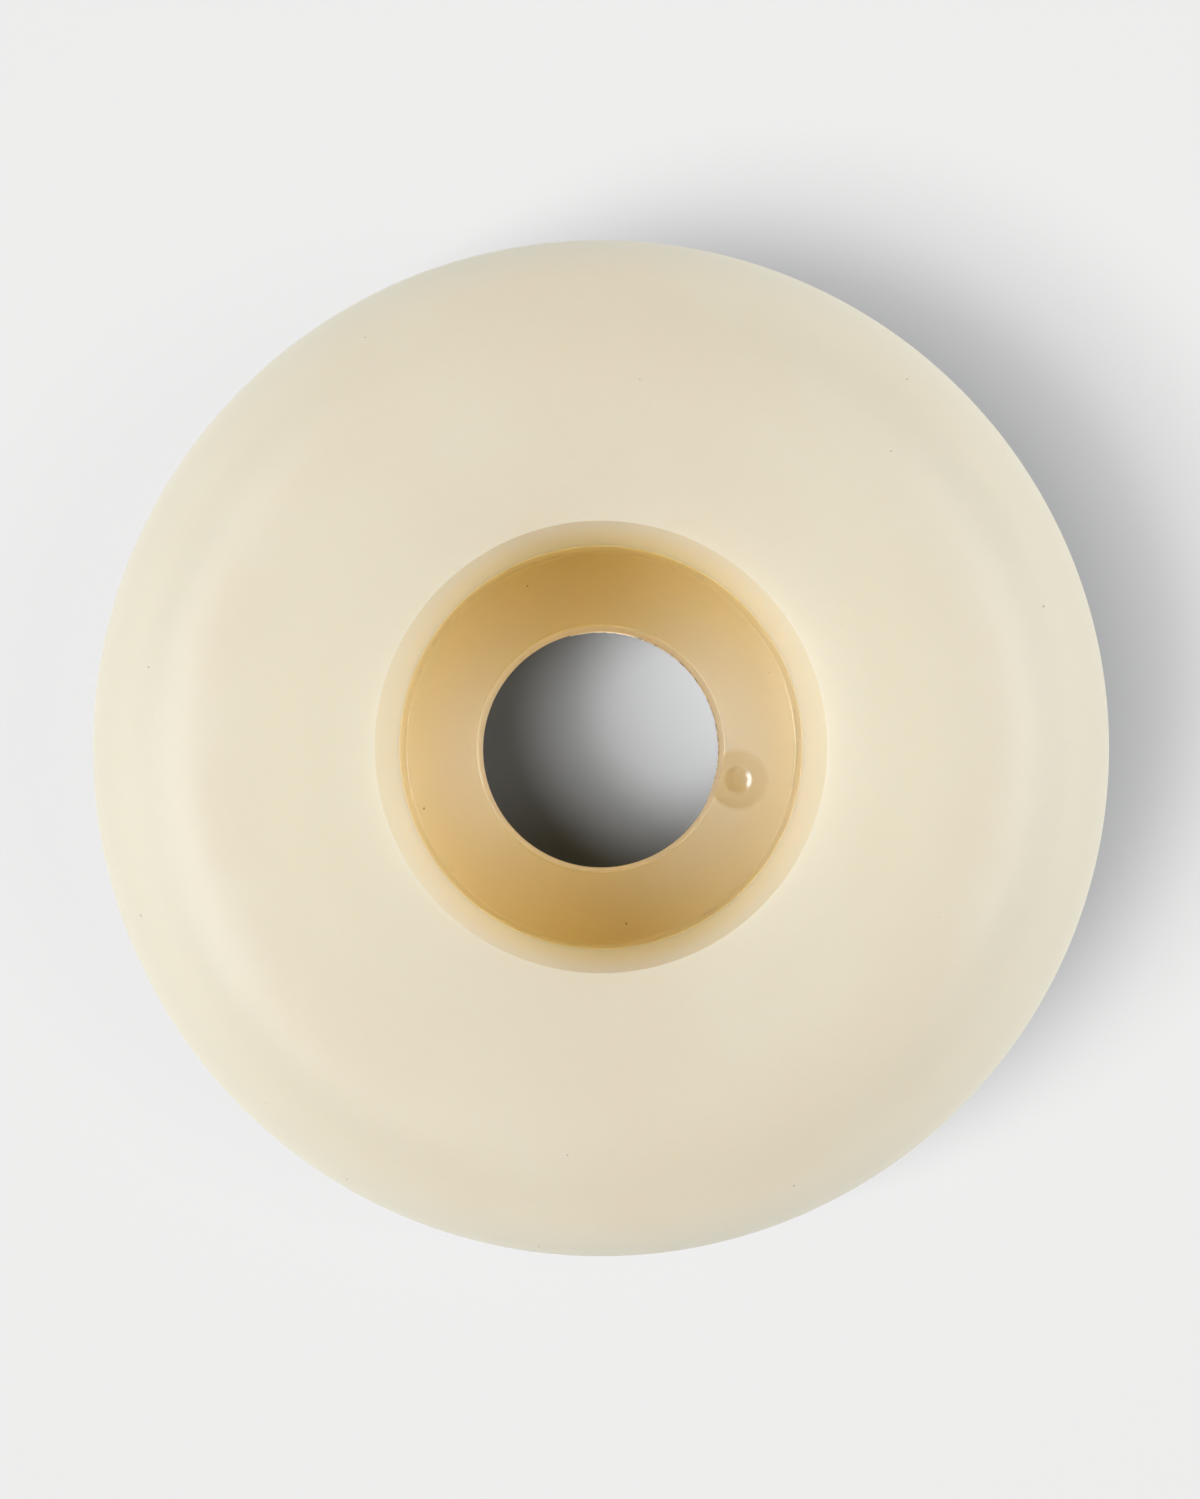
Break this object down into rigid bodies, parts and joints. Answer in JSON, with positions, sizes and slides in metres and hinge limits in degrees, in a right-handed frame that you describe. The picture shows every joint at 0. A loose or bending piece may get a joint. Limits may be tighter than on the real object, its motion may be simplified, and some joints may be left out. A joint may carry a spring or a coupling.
{
  "type": "skateboard wheel",
  "caption": "Skateboard wheel: a cream urethane tyre with rounded shoulders, locked round an amber core that has a press-fit bearing seat in each side and an axle bore between.",
  "frame": {"origin": "centre of the wheel, on the axle line and midway between the side faces", "axes": "+Z along the axle line, up out of the side face that the picture shows; +X to the right and +Y to the top of the picture"},
  "size_m": [0.056, 0.056, 0.032],
  "materials": {
    "urethane": "satin",
    "core_plastic": "satin"
  },
  "bodies": {
    "root": {"tyre": "urethane", "core": "core_plastic"}
  },
  "joints": []
}
